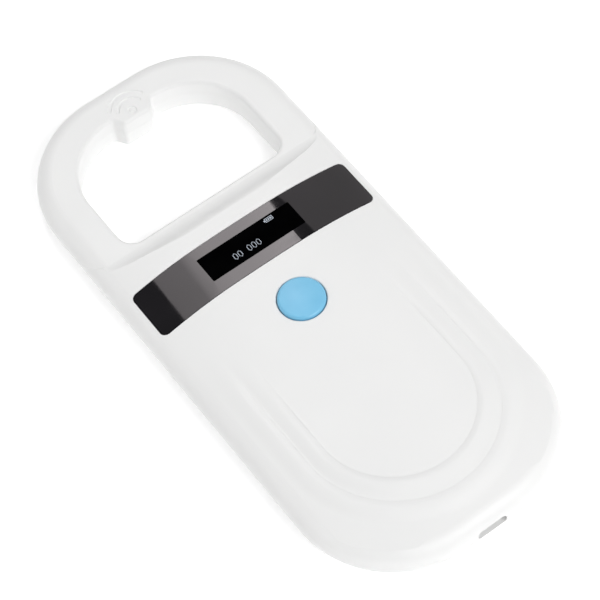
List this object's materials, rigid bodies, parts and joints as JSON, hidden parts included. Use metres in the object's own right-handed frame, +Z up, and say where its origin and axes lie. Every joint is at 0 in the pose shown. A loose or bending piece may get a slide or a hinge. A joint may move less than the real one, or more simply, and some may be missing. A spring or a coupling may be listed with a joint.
{
  "type": "microchip scanner",
  "caption": "Handheld pet microchip scanner: thin rounded white case with an open reading loop, a glossy curved display panel, a round push button and a small inlet in its end wall.",
  "frame": {"origin": "middle of the case's footprint, on the surface that its flat back lies on", "axes": "+Z up out of the display side, +Y along the case towards the reading loop, +X to the right when the display is read"},
  "size_m": [0.0712, 0.16, 0.0147],
  "materials": {
    "shell_white": "fine matte",
    "fascia_black": "polished",
    "lens_black": "polished",
    "oled_glass": "polished",
    "button_blue": "satin",
    "black_plastic": "matte",
    "steel": "satin",
    "gold_contact": "polished",
    "board_green": "satin",
    "foam": "open cell",
    "adhesive": "tacky film",
    "pouch_foil": "satin foil",
    "tape_amber": "film",
    "wire_sleeve": "smooth",
    "white_nylon": "matte",
    "copper_winding": "lacquered",
    "ceramic_body": "matte",
    "ferrite": "matte"
  },
  "bodies": {
    "case": {"top_shell": "shell_white", "bottom_shell": "shell_white", "display_fascia": "fascia_black", "fascia_adhesive": "adhesive", "display_lens": "lens_black", "oled_panel": "oled_glass", "oled_foam": "foam", "oled_flex": "tape_amber", "switch_body": "black_plastic", "switch_cover": "steel", "switch_legs": "steel", "main_board": "board_green", "board_screws": "steel", "shell_screws": "steel", "battery_cell": "pouch_foil", "battery_foam": "foam", "battery_protection_board": "board_green", "battery_leads": "wire_sleeve", "battery_plug": "white_nylon", "battery_socket": "white_nylon", "antenna_coil": "copper_winding", "coil_tape_bands": "tape_amber", "antenna_header": "white_nylon", "antenna_leads": "copper_winding", "usb_shell": "steel", "usb_tongue": "black_plastic", "usb_contacts": "gold_contact", "microcontroller": "black_plastic", "reader_chip": "black_plastic", "memory_chip": "black_plastic", "charger_chip": "black_plastic", "crystal": "steel", "power_inductor": "ferrite", "buzzer": "black_plastic", "ceramic_capacitors": "ceramic_body", "chip_resistors": "ceramic_body", "tuning_capacitors": "ceramic_body"},
    "button": {"button_cap": "button_blue"},
    "plunger": {"switch_plunger": "black_plastic"}
  },
  "joints": [
    {"name": "button_press", "type": "slide", "parent": "case", "child": "button", "axis": [0, 0, -1], "range_m": [0, 0.0003], "stiffness_N_per_m": 3000},
    {"name": "plunger_travel", "type": "slide", "parent": "case", "child": "plunger", "axis": [0, 0, -1], "range_m": [0, 0.0003]}
  ],
  "couplings": [
    {"joint": "plunger_travel", "follows": "button_press", "ratio": 1}
  ]
}
